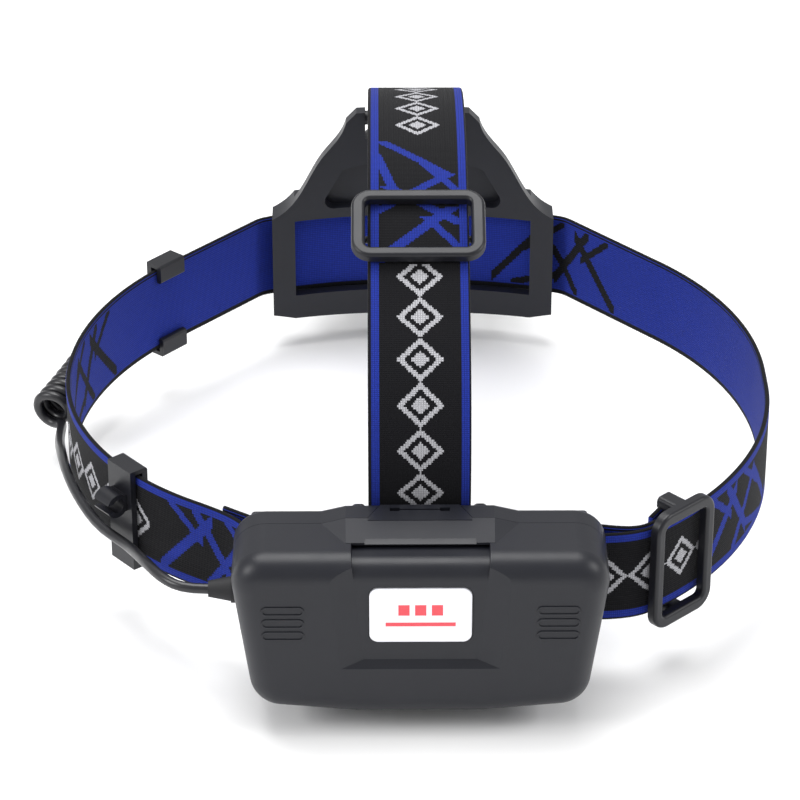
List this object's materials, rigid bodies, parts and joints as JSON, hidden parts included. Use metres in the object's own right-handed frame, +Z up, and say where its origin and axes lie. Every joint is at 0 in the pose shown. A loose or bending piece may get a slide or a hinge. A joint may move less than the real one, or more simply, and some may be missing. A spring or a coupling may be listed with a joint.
{
  "type": "headlamp",
  "caption": "Headlamp on woven straps: tilting zoom lamp on a forehead bracket, coiled lead, and a two-cell battery box at the back.",
  "frame": {"origin": "centre of the head band's ring, at mid height of the webbing", "axes": "+Y the way the lamp shines, +Z up through the crown of the head, +X to the wearer's right"},
  "size_m": [0.1985, 0.2624, 0.1125],
  "materials": {
    "shell": "matte",
    "slider": "matte",
    "webbing": "woven",
    "badge": "gloss",
    "rubber": "matte",
    "jacket": "satin",
    "steel": "satin",
    "cell_wrap": "gloss",
    "board": "gloss",
    "board_metal": "satin",
    "anodised": "satin",
    "nylon": "matte",
    "lens": "polished",
    "emitter": "gloss"
  },
  "bodies": {
    "harness": {"battery_back": "shell", "front_bracket": "shell", "rear_cable_clip": "slider", "front_cable_clip": "slider", "head_strap": "webbing", "top_strap": "webbing", "cover_seal": "rubber", "box_gland": "rubber", "lamp_gland": "rubber", "lead_rear": "jacket", "lead_coil": "jacket", "lead_front": "jacket", "cover_hinge_pin": "steel", "cell_contacts": "steel", "cell_springs": "steel", "cell_upper": "cell_wrap", "cell_lower": "cell_wrap", "battery_board": "board", "pivot_sleeve": "nylon", "tilt_washers": "nylon"},
    "lamp": {"lamp_body": "anodised", "rear_cover": "anodised", "led_board": "board_metal", "led_emitter": "emitter", "driver_board": "board", "switch_module": "slider", "pivot_screw": "steel"},
    "zoom": {"zoom_head": "anodised", "lens": "lens", "lens_ring": "anodised", "lens_o_ring": "rubber"},
    "switch": {"switch_button": "rubber"},
    "cover": {"battery_cover": "shell", "badge_plate": "badge"},
    "head_glide": {"head_strap_slider": "slider", "head_strap_end": "webbing"},
    "top_glide": {"top_strap_slider": "slider", "top_strap_end": "webbing"}
  },
  "joints": [
    {"name": "lamp_tilt", "type": "hinge", "parent": "harness", "child": "lamp", "pos_m": [0, 0.1215, -0.004], "axis": [1, 0, 0], "range_deg": [-90, 15]},
    {"name": "zoom_slide", "type": "slide", "parent": "lamp", "child": "zoom", "axis": [0, 1, 0], "range_m": [0, 0.008]},
    {"name": "switch_press", "type": "slide", "parent": "lamp", "child": "switch", "axis": [0, 0, 1], "range_m": [-0.001, 0], "stiffness_N_per_m": 800, "springref_m": 0.0003},
    {"name": "cover_hinge", "type": "hinge", "parent": "harness", "child": "cover", "pos_m": [0, -0.0916, -0.026], "axis": [1, 0, 0], "range_deg": [0, 110]},
    {"name": "head_strap_adjust", "type": "hinge", "parent": "harness", "child": "head_glide", "pos_m": [0.0007, -0.008, 0], "axis": [0, 0, 1], "range_deg": [0, 36]},
    {"name": "top_strap_adjust", "type": "hinge", "parent": "harness", "child": "top_glide", "pos_m": [0, 0, -0.0165], "axis": [1, 0, 0], "range_deg": [-45, 0]}
  ]
}
